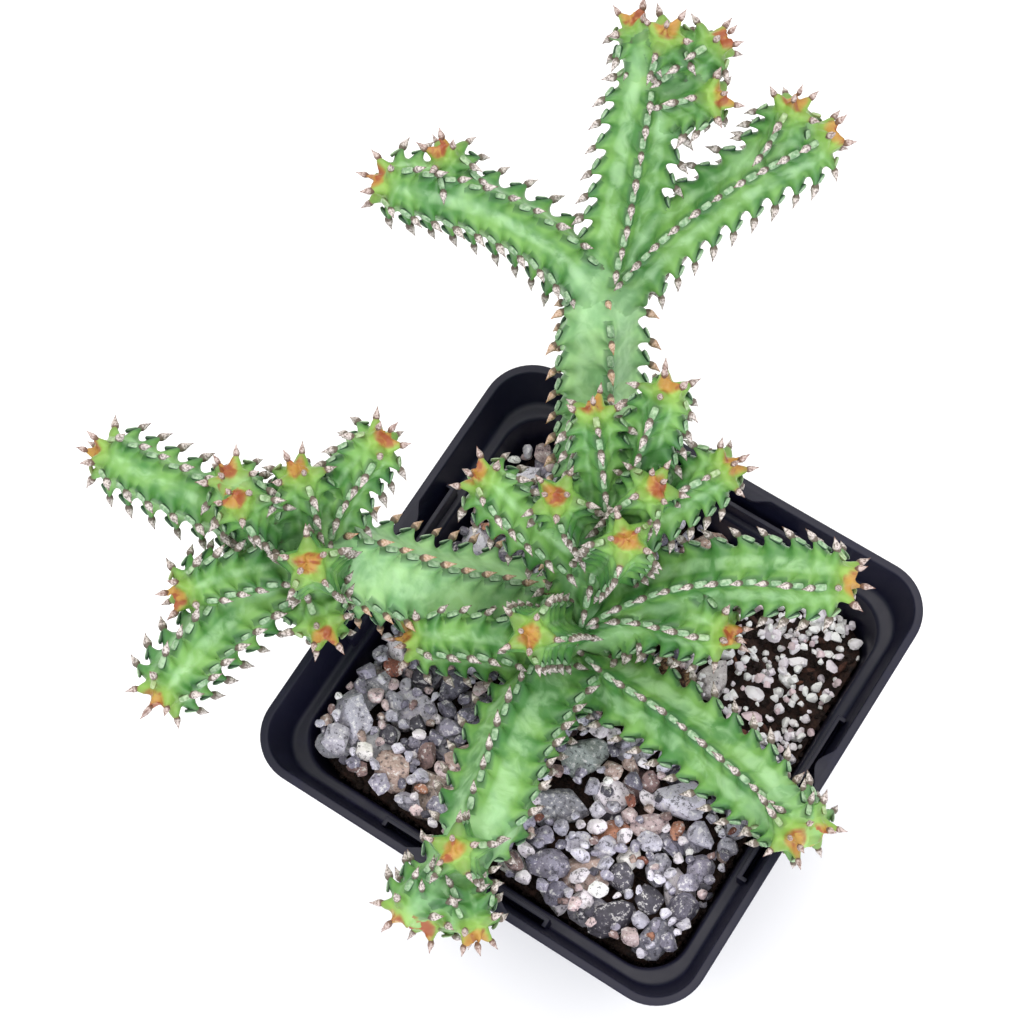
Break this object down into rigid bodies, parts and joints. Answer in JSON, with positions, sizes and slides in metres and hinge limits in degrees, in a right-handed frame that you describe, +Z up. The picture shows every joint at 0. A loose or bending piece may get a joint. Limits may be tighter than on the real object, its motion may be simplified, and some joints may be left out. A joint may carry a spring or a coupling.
{
  "type": "potted edithcolea plant",
  "caption": "Spiny succulent with five-angled branching green stems, rooted in gravel-topped mix in a square black plastic nursery pot.",
  "frame": {"origin": "centre of the pot's underside, on the surface that it stands on", "axes": "+Z up; X and Y along the sides of the square pot; the tallest group of stems leans towards +Y and the longest spreading group towards -X"},
  "size_m": [0.1475, 0.1621, 0.166],
  "materials": {
    "pot_plastic": "moulded, satin",
    "stem_skin": "waxy succulent skin",
    "old_stem_skin": "pale waxy succulent skin",
    "potting_mix": "damp crumb",
    "granite": "speckled, matte",
    "pale_stone": "matte",
    "warm_stone": "matte",
    "cork": "dry, corky"
  },
  "bodies": {
    "root": {"brown_granite_stone": "warm_stone", "centre_east_branch": "stem_skin", "centre_east_bud": "stem_skin", "centre_north_branch": "stem_skin", "centre_north_east_branch": "stem_skin", "centre_stem": "stem_skin", "centre_upright_branch": "stem_skin", "centre_west_branch": "stem_skin", "centre_west_bud": "stem_skin", "corner_granite_stone": "granite", "crown_stem": "old_stem_skin", "dark_slate_stone": "granite", "east_branch": "stem_skin", "east_lower_branch": "stem_skin", "gravel_dressing": "granite", "green_granite_stone": "granite", "large_granite_stone": "granite", "long_granite_stone": "granite", "north_east_branch": "stem_skin", "north_east_bud": "stem_skin", "north_middle_branch": "stem_skin", "north_middle_far_bud": "stem_skin", "north_middle_left_bud": "stem_skin", "north_middle_low_bud": "stem_skin", "north_middle_right_bud": "stem_skin", "north_stem": "old_stem_skin", "north_west_branch": "stem_skin", "north_west_bud": "stem_skin", "nursery_pot": "pot_plastic", "old_stump": "cork", "pale_granite_stone": "pale_stone", "pink_granite_stone": "warm_stone", "potting_mix": "potting_mix", "rim_granite_stone": "granite", "round_granite_stone": "granite", "small_quartz_stone": "pale_stone", "south_east_left_bud": "stem_skin", "south_east_right_bud": "stem_skin", "south_east_stem": "stem_skin", "south_west_left_bud": "stem_skin", "south_west_right_bud": "stem_skin", "south_west_stem": "stem_skin", "south_west_tip": "stem_skin", "south_west_top_bud": "stem_skin", "west_back_bud": "stem_skin", "west_far_branch": "stem_skin", "west_front_upright": "stem_skin", "west_low_branch": "stem_skin", "west_low_bud": "stem_skin", "west_middle_bud": "stem_skin", "west_north_branch": "stem_skin", "west_side_branch": "stem_skin", "west_south_branch": "stem_skin", "west_south_bud": "stem_skin", "west_stem": "old_stem_skin", "west_upright_branch": "stem_skin", "white_quartz_stone": "pale_stone", "white_speckled_stone": "pale_stone"}
  },
  "joints": []
}
